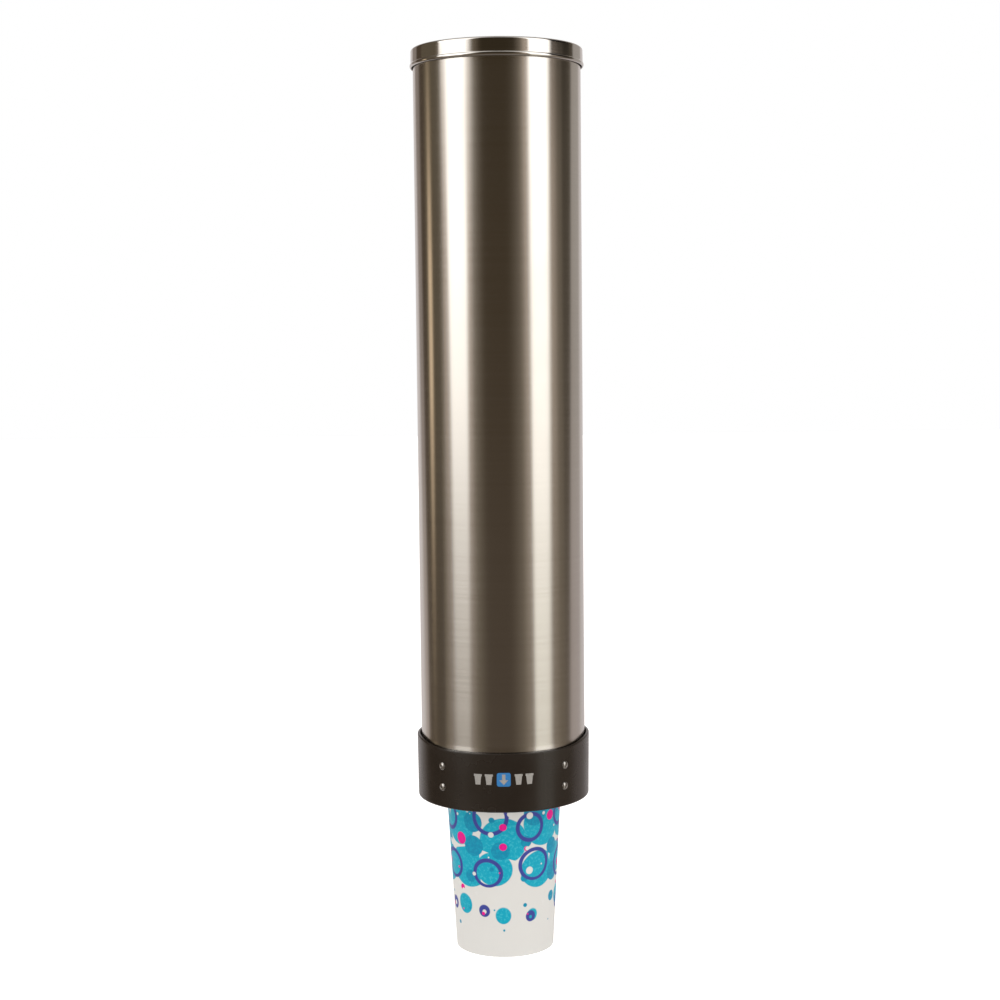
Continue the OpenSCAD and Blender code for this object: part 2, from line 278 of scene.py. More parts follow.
def brushedSteel(name, look):
    material, tree, skin = startMaterial(name)
    grain, layers = 0.0, {}
    for layer, values in grainLayers.items():
        place = roundTheAxis(tree, look["along"] * values["along"], look["across"] * values["across"])
        layers[layer] = noise(tree, place, 1.0, values["detail"], values["rough"])
        grain = calc(tree, "MULTIPLY_ADD", layers[layer], values["share"], grain)
    smudge = noise(tree, None, look["smudgeScale"])
    tone = blendColour(tree, between(tree, grain, *noiseSpan, 0.0, 1.0), look["dark"], look["light"])
    tone = blendColour(tree, between(tree, smudge, *spans["stain"], 0.0, look["smudge"]), tone, look["stain"])
    rough = between(tree, grain, *noiseSpan, *look["rough"])
    haze = between(tree, smudge, *spans["haze"], 0.0, 1.0)
    rough = calc(tree, "MULTIPLY_ADD", haze, look["smudgeRough"], rough)
    if look["weld"]:
        # the seam the tube is rolled up to, ground flat but still a shade darker
        x, y, z = fromAxis(tree)
        stray = look["weldStray"] * mm
        wander = calc(tree, "MULTIPLY_ADD", layers["streaks"], stray, calc(tree, "SUBTRACT", x, stray / 2))
        beside = calc(tree, "ABSOLUTE", wander)
        seam = between(tree, beside, look["weld"] / 2 * mm, look["weld"] * mm, 1.0, 0.0, "SMOOTHSTEP")
        seam = times(tree, seam, calc(tree, "GREATER_THAN", y, 0.0))
        tone = blendColour(tree, times(tree, seam, look["weldShare"]), tone, look["weldTone"])
        rough = calc(tree, "MULTIPLY_ADD", seam, look["weldRough"], rough)
    tangent = output(tree, "ShaderNodeTangent", direction_type="UV_MAP", uv_map="UVMap")
    fill(tree, skin, {"Base Color": tone, "Roughness": rough, "Metallic": 1.0, "Tangent": tangent,
                      "Anisotropic": look["anisotropy"], "Anisotropic Rotation": brushTurn})
    bumped(tree, skin, grain, *look["bump"])
    return material


def sheetMetal(name, look):
    # rolled or drawn sheet without a turned grain, for the small pressed parts
    material, tree, skin = startMaterial(name)
    stretched = put(tree, "ShaderNodeMapping", {"Vector": objectPlace(tree), "Scale": look["grain"]})
    lines = noise(tree, stretched.outputs[0], 1.0)
    patches = noise(tree, None, look["patch"], rough=patchRough)
    tone = blendColour(tree, patches, look["dark"], look["light"])
    rough = calc(tree, "ADD", between(tree, lines, *noiseSpan, *look["rough"]),
                 between(tree, patches, *noiseSpan, -patchSwing, patchSwing))
    fill(tree, skin, {"Base Color": tone, "Roughness": rough, "Metallic": 1.0})
    bumped(tree, skin, lines, *look["bump"])
    return material


def mouldedPlastic(name, look):
    material, tree, skin = startMaterial(name)
    pits = noise(tree, None, look["pitScale"])
    cloud = noise(tree, None, look["cloudScale"], fineDetail)
    scuffs = noise(tree, roundTheAxis(tree, *look["scuffScale"]), 1.0)
    tone = blendColour(tree, between(tree, cloud, *noiseSpan, 0.0, 1.0), look["dark"], look["light"])
    tone = blendColour(tree, between(tree, scuffs, *spans["scuff"], 0.0, look["scuff"]), tone, look["worn"])
    rough = between(tree, cloud, *noiseSpan, *look["rough"])
    fill(tree, skin, {"Base Color": tone, "Roughness": rough, "Specular IOR Level": look["specular"]})
    bumped(tree, skin, pits, *look["bump"])
    return material


def padPrinted(name, look):
    # ink from a soft printing pad: a little thin and broken where the plastic is rough
    material, tree, skin = startMaterial(name)
    thin = noise(tree, None, look["thinScale"])
    broken = between(tree, thin, *spans["thin"], 0.0, look["thin"])
    fill(tree, skin, {"Base Color": blendColour(tree, broken, look["ink"], look["under"]),
                      "Roughness": between(tree, thin, *noiseSpan, *look["rough"])})
    bumped(tree, skin, thin, *look["bump"])
    return material


tubeLook = {"along": 6.0, "across": 4200.0, "dark": (0.575, 0.545, 0.505), "light": (0.635, 0.605, 0.565),
            "stain": (0.53, 0.495, 0.45), "smudge": 0.3, "smudgeScale": 9.0, "smudgeRough": 0.03,
            "rough": (0.15, 0.23), "anisotropy": 0.75, "bump": (0.12, 0.02),
            "weld": 1.6, "weldStray": 0.8, "weldTone": (0.36, 0.32, 0.27), "weldShare": 0.7,
            "weldRough": 0.12}
lidLook = {"along": 6.0, "across": 4200.0, "dark": (0.58, 0.555, 0.525), "light": (0.63, 0.605, 0.575),
           "stain": (0.54, 0.515, 0.48), "smudge": 0.25, "smudgeScale": 12.0, "smudgeRough": 0.03,
           "rough": (0.06, 0.11), "anisotropy": 0.4, "bump": (0.06, 0.02), "weld": 0.0}
plateLook = {"grain": (40.0, 2500.0, 2500.0), "patch": 26.0, "dark": (0.52, 0.52, 0.51),
             "light": (0.62, 0.62, 0.60), "rough": (0.26, 0.42), "bump": (0.3, 0.02)}
springLook = {"grain": (60.0, 60.0, 3000.0), "patch": 60.0, "dark": (0.47, 0.48, 0.50),
              "light": (0.60, 0.60, 0.61), "rough": (0.2, 0.34), "bump": (0.25, 0.02)}
rivetLook = {"grain": (1500.0, 1500.0, 1500.0), "patch": 400.0, "dark": (0.41, 0.39, 0.37),
             "light": (0.52, 0.50, 0.48), "rough": (0.2, 0.3), "bump": (0.2, 0.02)}
collarLook = {"dark": (0.0155, 0.0108, 0.0076), "light": (0.0190, 0.0138, 0.0098),
              "worn": (0.045, 0.039, 0.033), "scuff": 0.05, "scuffScale": (30.0, 900.0), "cloudScale": 22.0,
              "pitScale": 1400.0, "rough": (0.20, 0.30), "specular": 0.41, "bump": (0.3, 0.04)}
blueInkLook = {"ink": (0.012, 0.16, 0.42), "under": (0.012, 0.05, 0.12), "thin": 0.5, "thinScale": 1600.0,
               "rough": (0.42, 0.58), "bump": (0.2, 0.01)}
greyInkLook = {"ink": (0.30, 0.285, 0.265), "under": (0.12, 0.11, 0.10), "thin": 0.6, "thinScale": 1600.0,
               "rough": (0.42, 0.58), "bump": (0.2, 0.01)}

tubeSteel = brushedSteel("tubeSteel", tubeLook)
lidSteel = brushedSteel("lidSteel", lidLook)
plateSteel = sheetMetal("plateSteel", plateLook)
springSteel = sheetMetal("springSteel", springLook)
rivetAluminium = sheetMetal("rivetAluminium", rivetLook)
collarPlastic = mouldedPlastic("collarPlastic", collarLook)
blueInk = padPrinted("blueInk", blueInkLook)
greyInk = padPrinted("greyInk", greyInkLook)
print("finishes made")

# Tube: a rolled upper edge, and a foot that swells a little where it enters the collar
tube = {"outer": 63.5, "wall": 0.8, "foot": 3.1, "cutEdge": 0.25, "bead": 0.75, "beadArc": (-86, 166, 14),
        "swell": 0.16, "swellFrom": 41.0, "swellPeak": 44.6, "swellTo": 49.6, "riseRings": 6, "fallRings": 18}
tubeBore = tube["outer"] - tube["wall"]
beadAt = (tubeBore + tube["bead"], tubeTop - tube["bead"])
swellRise, swellFall = tube["swellPeak"] - tube["swellFrom"], tube["swellTo"] - tube["swellPeak"]
tubePath = [Vector((tubeBore, beadAt[1]))]
tubePath += softPath([
    (tubeBore, beadAt[1] - support["clear"], 0),
    (tubeBore, tube["foot"], tube["cutEdge"]),
    (tube["outer"], tube["foot"], tube["cutEdge"]),
    (tube["outer"], tube["swellFrom"], 0)], closed=False)
rise, fall = tube["riseRings"], tube["fallRings"]
for k in range(1, rise + fall + 1):
    share = k / rise if k <= rise else 1 + (k - rise) / fall
    height = tube["swellPeak"] + (share - 1) * (swellRise if share <= 1 else swellFall)
    tubePath.append(Vector((tube["outer"] + tube["swell"] * (0.5 - 0.5 * math.cos(math.pi * share)), height)))
tubePath += softPath([
    (tube["outer"], tube["swellTo"] + support["inset"], 0),
    (tube["outer"], beadAt[1] - tube["bead"] - support["inset"], 0)], closed=False)
tubePath += arc(beadAt, tube["bead"], tube["bead"], *tube["beadArc"])
tubeShell = turned("tubeShell", tubePath)
dress(tubeShell, "dispenser", "tube_steel", [tubeSteel], "tube")

# Lid: a drawn top with a low crown, and a skirt whose foot is folded into a half-round hem
lid = {"wall": 0.6, "corner": 1.8, "crown": 1.2, "crownRun": 2.4, "crownRound": 2.0, "flat": 9.0,
       "hemUp": 3.0, "hemOut": 0.7, "hemIn": 0.25, "hemSink": 0.1, "draft": 0.15,
       "foldArc": (210, 260, 25), "hemArc": (-90, 78, 12)}
lidOut = (lidHigh.x - lidLow.x) / 2 / mm - lid["hemOut"]
lidIn = lidOut - lid["wall"]
crownFar = lidOut - lid["corner"] - lid["flat"]
crownFoot = crownFar + lid["crownRun"]
shoulder = lidTop - lid["crown"]
lidPath = softPath([
    (0, lidTop - lid["wall"], 0),
    (crownFar, lidTop - lid["wall"], lid["crownRound"]),
    (crownFoot, shoulder - lid["wall"], lid["crownRound"]),
    (lidIn - lid["draft"] / 2, shoulder - lid["wall"], lid["corner"] - lid["wall"]),
    (lidIn, lidFoot + support["clear"], 0)], closed=False, steps=8)
lidPath += arc((lidIn + lid["hemIn"], lidFoot + lid["hemIn"]), lid["hemIn"], lid["hemIn"], *lid["foldArc"])
hemAt = (lidOut - lid["hemSink"], lidFoot + lid["hemUp"] / 2)
lidPath += arc(hemAt, lid["hemOut"] + lid["hemSink"], lid["hemUp"] / 2, *lid["hemArc"])
lidPath += softPath([
    (lidOut, lidFoot + lid["hemUp"] + lid["hemSink"], 0),
    (lidOut - lid["draft"], shoulder, lid["corner"]),
    (crownFoot, shoulder, lid["crownRound"]),
    (crownFar, lidTop, lid["crownRound"]),
    (0, lidTop, 0)], closed=False, steps=8)
lidShell = turned("lidShell", lidPath, closed=False)
dress(lidShell, "lid", "lid_steel", [lidSteel], "lid")

# Collar: a moulded ring that draws in a little towards its foot, with a flange under the tube
collar = {"outer": (collarHigh.x - collarLow.x) / 2 / mm, "bore": 63.65, "height": 45.0, "draft": 0.5,
          "outlet": 56.0, "outletRound": 0.8, "flange": 3.0, "footRound": 1.6, "topRound": 0.8,
          "leadIn": (1.2, 2.4), "innerRound": 0.3,
          "ear": 3.8, "earFrom": 40.0, "earTo": 84.0, "earRoot": 36.0}


def collarFace(height):
    return collar["outer"] - collar["draft"] * (1 - height / collar["height"])


def scooped(r, z, turn):
    # the upper edge stands a little higher at the sides and back than at the front
    past = (abs(turn * 360 - 180) - collar["earFrom"]) / (collar["earTo"] - collar["earFrom"])
    past = max(0.0, min(1.0, past))
    share = max(0.0, (z - collar["earRoot"]) / (collar["height"] - collar["earRoot"]))
    return r, z + collar["ear"] * past * past * (3 - 2 * past) * share


collarPath = softPath([
    (collar["outlet"], 0, collar["outletRound"]),
    (collarFace(0), 0, collar["footRound"]),
    (collar["outer"], collar["height"], collar["topRound"]),
    (collar["bore"] + collar["leadIn"][0], collar["height"], collar["innerRound"]),
    (collar["bore"], collar["height"] - collar["leadIn"][1], collar["innerRound"]),
    (collar["bore"], collar["flange"], collar["innerRound"]),
    (collar["outlet"], collar["flange"], collar["outletRound"])], steps=8)
collarRing = turned("collarRing", collarPath, shape=scooped)
dress(collarRing, "dispenser", "collar_plastic", [collarPlastic], "collar")
print("tube, lid and collar turned")

# Sign on the collar's front: an arrow that says pull down, with plain cups to either side
sign = {"height": 25.5, "tile": 10.4, "tileRound": 1.6, "cupWide": 6.2, "cupHigh": 8.0,
        "cupsAt": (-19.6, -11.2, 11.2, 19.6), "ink": 0.03, "lift": 0.04, "arrowLift": 0.07, "cell": 1.5,
        "arcStep": 22}
arrowShape = ((0, -0.38), (0.33, -0.03), (0.12, -0.03), (0.12, 0.38),
              (-0.12, 0.38), (-0.12, -0.03), (-0.33, -0.03))
cupShape = ((-0.3, -0.5), (0.3, -0.5), (0.42, 0.3), (0.5, 0.3),
            (0.5, 0.5), (-0.5, 0.5), (-0.5, 0.3), (-0.42, 0.3))


def inkedShapes(name, loops, lift, material):
    # flat outlines in millimetres, cut into cells and laid round the collar's face
    work = bmesh.new()
    for loop in loops:
        work.faces.new([work.verts.new((x, 0, z)) for x, z in loop])
    work.normal_update()
    bmesh.ops.triangulate(work, faces=work.faces, ngon_method="EAR_CLIP")
    xs = [vert.co.x for vert in work.verts]
    for k in range(1, math.ceil((max(xs) - min(xs)) / sign["cell"])):
        whole = work.verts[:] + work.edges[:] + work.faces[:]
        cut = (min(xs) + k * sign["cell"], 0, 0)
        bmesh.ops.bisect_plane(work, geom=whole, plane_co=cut, plane_no=(1, 0, 0))
    for vert in work.verts:
        far = collarFace(vert.co.z) + lift
        angle = vert.co.x / far
        vert.co = (axisX + far * mm * math.sin(angle), axisY - far * mm * math.cos(angle),
                   footZ + vert.co.z * mm)
    bmesh.ops.remove_doubles(work, verts=work.verts, dist=merged["close"])
    bmesh.ops.recalc_face_normals(work, faces=work.faces)
    for face in work.faces:
        if face.normal.y > 0:
            face.normal_flip()
    mesh = bpy.data.meshes.new(name)
    work.to_mesh(mesh)
    work.free()
    obj = placed(name, mesh)
    film = obj.modifiers.new("film", "SOLIDIFY")
    film.thickness, film.offset = sign["ink"] * mm, -1.0
    return dress(obj, "dispenser", "collar_plastic", [material])


tileHalf = sign["tile"] / 2 - sign["tileRound"]
tileOutline = [(x * tileHalf + p.x, sign["height"] + z * tileHalf + p.y)
               for x, z, first in ((1, -1, -90), (1, 1, 0), (-1, 1, 90), (-1, -1, 180))
               for p in arc((0, 0), sign["tileRound"], sign["tileRound"], first, first + 90, sign["arcStep"])]
arrowOutline = [(x * sign["tile"], sign["height"] + z * sign["tile"]) for x, z in arrowShape]
cupOutlines = [[(at + x * sign["cupWide"], sign["height"] + z * sign["cupHigh"]) for x, z in cupShape]
               for at in sign["cupsAt"]]
inkedShapes("signTile", [tileOutline], sign["lift"], blueInk)
inkedShapes("signArrow", [arrowOutline], sign["arrowLift"], greyInk)
inkedShapes("signCups", cupOutlines, sign["lift"], greyInk)
print("sign printed on the collar")


# What repeats is made with geometry nodes on a few points, then turned into one plain mesh
def startTree(name, given):
    tree = bpy.data.node_groups.new(name, "GeometryNodeTree")
    tree.interface.new_socket("Places", in_out="INPUT", socket_type="NodeSocketGeometry")
    for label, value in given.items():
        kind = "NodeSocketInt" if isinstance(value, int) else "NodeSocketFloat"
        tree.interface.new_socket(label, in_out="INPUT", socket_type=kind).default_value = value
    tree.interface.new_socket("Made", in_out="OUTPUT", socket_type="NodeSocketGeometry")
    return tree, put(tree, "NodeGroupInput").outputs


def endTree(tree, instances, material):
    solid = output(tree, "GeometryNodeRealizeInstances", {"Geometry": instances})
    solid = output(tree, "GeometryNodeSetMaterial", {"Geometry": solid, "Material": material})
    put(tree, "NodeGroupOutput", {0: solid})
    return tree


def settled(name, tree, places, facings=None, values=None):
    mesh = bpy.data.meshes.new(name)
    mesh.from_pydata(places, [], [])
    if facings:
        attribute = mesh.attributes.new("facing", "FLOAT_VECTOR", "POINT")
        attribute.data.foreach_set("vector", [c for f in facings for c in f])
    obj = placed(name, mesh)
    modifier = obj.modifiers.new("row", "NODES")
    modifier.node_group = tree
    for item in tree.interface.items_tree:
        if item.item_type == "SOCKET" and item.in_out == "INPUT" and item.name in (values or {}):
            modifier[item.identifier] = values[item.name]
    graph = bpy.context.evaluated_depsgraph_get()
    result = obj.evaluated_get(graph)
    made = bpy.data.meshes.new_from_object(result, preserve_all_data_layers=True, depsgraph=graph)
    obj.modifiers.clear()
    obj.data = made
    work = bmesh.new()
    work.from_mesh(made)
    bmesh.ops.remove_doubles(work, verts=work.verts, dist=merged["close"])
    bmesh.ops.recalc_face_normals(work, faces=work.faces)
    work.to_mesh(made)
    work.free()
    smoothed(made, sharp["rows"])
    return obj


def outAt(turn, height, far):
    angle = math.radians(turn)
    out = Vector((math.cos(angle), math.sin(angle), 0))
    return Vector((axisX, axisY, footZ + height * mm)) + out * far * mm, out


# Blind rivets: a domed head with its broken-off pin, and the spread tail behind it
rivet = {"head": 6.0, "rise": 1.35, "sink": 0.1, "tail": 2.3, "tailLong": 1.28, "lean": 0.02, "seed": 7,
         "turn": 44.0, "heights": (16.0, 32.0), "collarGrip": 5.0,
         "strapTurn": 20.9, "strapSeat": 64.9, "strapGrip": 2.3,
         # radius and height of each ring, as shares: the pin, the gap round it, the lip, the dome and the rim
         "headRows": [(0, 0.66), (0.12, 0.68), (0.22, 0.66), (0.265, 0.58), (0.27, 0.40), (0.31, 0.40),
                      (0.315, 0.84), (0.34, 0.94), (0.38, 0.985), (0.45, 1.0), (0.55, 0.965), (0.66, 0.88),
                      (0.77, 0.745), (0.87, 0.57), (0.94, 0.42), (0.985, 0.30), (1.0, 0.20), (0.99, 0.06),
                      (0.9, 0.0), (0, 0.0)],
         "tailRows": [(0, 0.02), (0.3, 0.0), (0.52, 0.06), (0.68, 0.2), (0.86, 0.45), (0.97, 0.68),
                      (1.0, 0.82), (0.96, 0.93), (0.8, 1.0), (0, 1.0)]}


def turnedInNodes(tree, radius, height, rows, around):
    sizes = {"Size X": 1.0, "Size Y": 1.0, "Vertices X": around + 1, "Vertices Y": len(rows)}
    grid = put(tree, "GeometryNodeMeshGrid", sizes)
    uv = put(tree, "ShaderNodeSeparateXYZ", {0: grid.outputs["UV Map"]})
    angle = times(tree, uv.outputs[0], 2 * math.pi)
    last = len(rows) - 1
    farRow = curveThrough(tree, uv.outputs[1], [(i / last, row[0]) for i, row in enumerate(rows)], True)
    upRow = curveThrough(tree, uv.outputs[1], [(i / last, row[1]) for i, row in enumerate(rows)], True)
    far = times(tree, farRow, radius)
    place = put(tree, "ShaderNodeCombineXYZ", {0: times(tree, far, calc(tree, "COSINE", angle)),
                                               1: times(tree, far, calc(tree, "SINE", angle)),
                                               2: times(tree, upRow, height)})
    moved = {"Geometry": grid.outputs["Mesh"], "Position": place.outputs[0]}
    shaped = output(tree, "GeometryNodeSetPosition", moved)
    return output(tree, "GeometryNodeMergeByDistance", {"Geometry": shaped, "Distance": merged["wide"]})


def rivetTree(rivet):
    tree, given = startTree("rivetRow", {
        "Head radius": rivet["head"] / 2 * mm, "Head height": rivet["rise"] * mm,
        "Tail radius": rivet["tail"] * mm, "Tail length": rivet["tailLong"] * mm,
        "Grip": rivet["collarGrip"] * mm, "Lean": rivet["lean"], "Seed": rivet["seed"]})
    head = turnedInNodes(tree, given["Head radius"], given["Head height"], rivet["headRows"], around=40)
    sunk = {"Geometry": head, "Translation": (0, 0, -rivet["sink"] * mm)}
    head = output(tree, "GeometryNodeTransform", sunk)
    tail = turnedInNodes(tree, given["Tail radius"], given["Tail length"], rivet["tailRows"], around=28)
    depth = times(tree, calc(tree, "ADD", given["Grip"], given["Tail length"]), -1.0)
    down = output(tree, "ShaderNodeCombineXYZ", {2: depth})
    tail = output(tree, "GeometryNodeTransform", {"Geometry": tail, "Translation": down})
    whole = put(tree, "GeometryNodeJoinGeometry")
    for part in (head, tail):
        tree.links.new(part, whole.inputs[0])
    named = put(tree, "GeometryNodeInputNamedAttribute", {"Name": "facing"}, data_type="FLOAT_VECTOR")
    facing = named.outputs[0]
    least, most = ({0: (way,) * 3, 3: given["Lean"]} for way in (-1, 1))
    ends = {0: output(tree, "ShaderNodeVectorMath", least, operation="SCALE"),
            1: output(tree, "ShaderNodeVectorMath", most, operation="SCALE"), "Seed": given["Seed"]}
    lean = output(tree, "FunctionNodeRandomValue", ends, data_type="FLOAT_VECTOR")
    aimed = output(tree, "ShaderNodeVectorMath", {0: facing, 1: lean}, operation="ADD")
    turn = output(tree, "FunctionNodeAlignRotationToVector", {"Vector": aimed}, axis="Z")
    row = {"Points": given["Places"], "Instance": whole.outputs[0], "Rotation": turn}
    return endTree(tree, output(tree, "GeometryNodeInstanceOnPoints", row), rivetAluminium)


rivets = rivetTree(rivet)
collarTurns = [turn + side * rivet["turn"] for turn in (-90, 90) for side in (-1, 1)]
collarSeats = [outAt(turn, height, collarFace(height)) for turn in collarTurns for height in rivet["heights"]]
collarRow = settled("collarRivetRow", rivets, *zip(*collarSeats))
dress(collarRow, "dispenser", "rivet_aluminium", [rivetAluminium], "collar_rivets")
strapSeats = []
for strap in ("hanger_upper", "hanger_lower"):
    low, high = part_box(strap)
    middle = ((low.z + high.z) / 2 - footZ) / mm
    strapSeats += [outAt(90 + side * rivet["strapTurn"], middle, rivet["strapSeat"]) for side in (-1, 1)]
strapRow = settled("strapRivetRow", rivets, *zip(*strapSeats), {"Grip": rivet["strapGrip"] * mm})
dress(strapRow, "dispenser", "rivet_aluminium", [rivetAluminium], "hanger_rivets")
print("rivets set:", len(collarSeats), "in the collar,", len(strapSeats), "in the straps")

# Cups: rolled rim, glued side seam, floor folded in over a knurled foot, and a print of discs and rings.
# The pitch is the gap between two nested walls over their slope.
cup = {"height": 140.0, "base": 37.9, "mouth": 45.6, "paper": 0.5, "curl": 1.6, "floor": 12.0, "rim": 20.0,
       "count": 6, "pitch": 0.8 / 0.055, "wrapArc": (150, -46, 14), "curlArc": (-45, 166, 14),
       "wallStop": 1.2, "liningStop": 0.6, "floorRound": 0.5, "footRounds": (0.2, 0.35),
       "footEdge": (0.2, 0.3), "seamWide": 7.0, "seamStep": 0.18, "seamPress": 6, "seamBelowRim": 4.0,
       "seamAt": 42.0, "nearWall": 0.1}
taper = (cup["mouth"] - cup["base"]) / cup["height"]


def paperTone(tree, look):
    cloud = noise(tree, None, look["toneScale"], rough=softRough)
    return blendColour(tree, cloud, look["paperDark"], look["paper"])


def fibred(tree, skin, look, rough):
    fibre = noise(tree, None, look["fibreScale"], fineDetail)
    fill(tree, skin, {"Roughness": between(tree, fibre, *noiseSpan, *rough)})
    bumped(tree, skin, fibre, *look["bump"])


def paperPrint(look):
    material, tree, skin = startMaterial("cupPrint")
    uv = output(tree, "ShaderNodeUVMap", uv_map="UVMap")
    sheet = output(tree, "ShaderNodeMapping", {"Vector": uv, "Scale": (look["girth"], 1.0, 1.0)})
    high = put(tree, "ShaderNodeSeparateXYZ", {0: sheet}).outputs[1]
    crowd = curveThrough(tree, between(tree, high, look["low"], look["high"], 0.0, 1.0), look["crowd"])

    def spots(layer):
        # how far each place lies outside its cell's round spot, below 0 inside it
        scale, shift, size, spread, stray = look[layer]
        place = (shift, shift * look["shiftUp"], 0)
        moved = output(tree, "ShaderNodeMapping", {"Vector": sheet, "Location": place})
        inputs = {"Vector": moved, "Scale": scale, "Randomness": stray}
        cells = put(tree, "ShaderNodeTexVoronoi", inputs, voronoi_dimensions="2D")
        chance = output(tree, "ShaderNodeSeparateColor", {0: cells.outputs["Color"]})
        reach = times(tree, between(tree, chance, 0.0, 1.0, size - spread, size + spread), crowd)
        gone = calc(tree, "MULTIPLY_ADD", crowd, -look["gone"], look["gone"])
        return calc(tree, "SUBTRACT", calc(tree, "ADD", cells.outputs["Distance"], gone), reach)

    def disc(edge, soft=0.02):
        return between(tree, edge, 0.0, soft, 1.0, 0.0)

    def ring(edge, half, soft=0.015):
        return between(tree, calc(tree, "ABSOLUTE", edge), half, half + soft, 1.0, 0.0)

    mottle = noise(tree, sheet, look["mottleScale"], fineDetail, look["mottleRough"])
    colour = paperTone(tree, look)
    teal = blendColour(tree, between(tree, mottle, *look["palePatches"]), look["teal"], look["tealLight"])
    deep = blendColour(tree, between(tree, mottle, *look["deepPatches"]), look["tealDeep"], look["teal"])
    colour = blendColour(tree, disc(spots("discs")), colour, teal)
    colour = blendColour(tree, disc(spots("deepDiscs")), colour, deep)
    colour = blendColour(tree, ring(spots("rings"), look["ringHalf"]), colour, look["violet"])
    colour = blendColour(tree, disc(spots("dots")), colour, look["magenta"])
    colour = blendColour(tree, disc(spots("gaps")), colour, look["paper"])
    fill(tree, skin, {"Base Color": colour, "Specular IOR Level": look["specular"]})
    fibred(tree, skin, look, look["rough"])
    return material


def plainPaper(look):
    material, tree, skin = startMaterial("cupBoard")
    fill(tree, skin, {"Base Color": paperTone(tree, look)})
    fibred(tree, skin, look, look["boardRough"])
    return material


# each layer of the print has its cells per metre, its shift, its spots' radius and how much that varies, as
# shares of a cell, and how far the spots stray from a square grid; patches are two levels of the mottle and
# their shares
printLook = {"girth": 0.262, "low": 0.008, "high": 0.142, "gone": 0.08, "shiftUp": 0.37,
             "mottleScale": 420.0, "mottleRough": 0.65,
             "palePatches": (0.5, 0.62, 0.0, 0.45), "deepPatches": (0.45, 0.6, 0.0, 0.6),
             "discs": (31.0, 0.013, 0.47, 0.12, 0.55), "deepDiscs": (43.0, 0.531, 0.24, 0.20, 0.55),
             "rings": (28.0, 0.211, 0.29, 0.07, 0.3), "ringHalf": 0.035,
             "dots": (52.0, 0.397, 0.04, 0.20, 0.55), "gaps": (70.0, 0.871, 0.02, 0.20, 0.55),
             "crowd": [(0.0, 0.0), (0.12, 0.30), (0.3, 0.68), (0.5, 1.02), (0.8, 1.22), (1.0, 1.2)],
             "paper": (0.652, 0.648, 0.630), "paperDark": (0.624, 0.618, 0.596), "teal": (0.001, 0.335, 0.47),
             "tealLight": (0.06, 0.50, 0.58), "tealDeep": (0.001, 0.225, 0.38),
             "violet": (0.042, 0.055, 0.28), "magenta": (0.72, 0.002, 0.23), "rough": (0.32, 0.46),
             "boardRough": (0.3, 0.42), "specular": 0.2, "toneScale": 30.0, "fibreScale": 900.0,
             "bump": (0.25, 0.03)}
cupPrint, cupBoard = paperPrint(printLook), plainPaper(printLook)


def cupWall(height):
    return cup["base"] + taper * height


def cupSection():
    paper, curl, floor = cup["paper"], cup["curl"], cup["floor"]
    curlAt = (cup["mouth"] - paper + curl, cup["height"] - curl)
    wallTop, liningTop = curlAt[1] - cup["wallStop"], curlAt[1] - cup["liningStop"]
    under = softPath([
        (0, floor - paper, 0),
        (cupWall(floor) - 2 * paper, floor - paper, cup["floorRound"]),
        (cupWall(0) - 2 * paper, 0, cup["footRounds"][0]),
        (cupWall(0), 0, cup["footRounds"][1]),
        (cupWall(wallTop), wallTop, 0)], closed=False, steps=4)
    wrap = arc(curlAt, curl - paper, curl - paper, *cup["wrapArc"])
    over = arc(curlAt, curl, curl, *cup["curlArc"])
    inner = softPath([
        (cupWall(liningTop) - paper, liningTop, 0),
        (cupWall(floor) - paper, floor, cup["floorRound"]),
        (0, floor, 0)], closed=False, steps=4)
    return under + wrap + over + inner, len(under) + len(wrap)


cupOutline, printEnd = cupSection()
edgeIn, edgeUp = cup["footEdge"]
printStart = next(i for i, p in enumerate(cupOutline) if p.y < edgeUp and p.x > cup["base"] - edgeIn)


def makeCup(index):
    lift = cup["rim"] - cup["height"] + index * cup["pitch"]
    half = cup["seamWide"] / 2 / (2 * math.pi * cup["seamAt"])

    def seamed(r, z, turn):
        # the overlap of the glued side seam stands out by a sheet of paper, with a pressed edge
        if z - lift < cup["height"] - cup["seamBelowRim"] and r > cupWall(z - lift) - cup["nearWall"]:
            share = (half - min(turn, 1 - turn)) / half * cup["seamPress"]
            r += cup["seamStep"] * max(0.0, min(1.0, share))
        return r, z

    def printed(i):
        return 0 if printStart <= i < printEnd else 1

    path = [Vector((p.x, p.y + lift)) for p in cupOutline]
    obj = turned("cup%d" % (index + 1), path, steps=192, closed=False, shape=seamed, slotOf=printed)
    start = sum((path[i + 1] - path[i]).length for i in range(printStart)) * mm
    for loop in obj.data.uv_layers["UVMap"].data:
        loop.uv.y -= start
    body = "cup" if index == 0 else "stack"
    return dress(obj, body, "cup_paper", [cupPrint, cupBoard], "cup_%d" % (index + 1))


for index in range(cup["count"]):
    makeCup(index)

# Knurl: the ribs a crimping wheel leaves inside each cup's foot
knurl = {"ribs": 72, "wide": 1.3, "deep": 0.22, "tall": 8.6, "gap": 1.6}


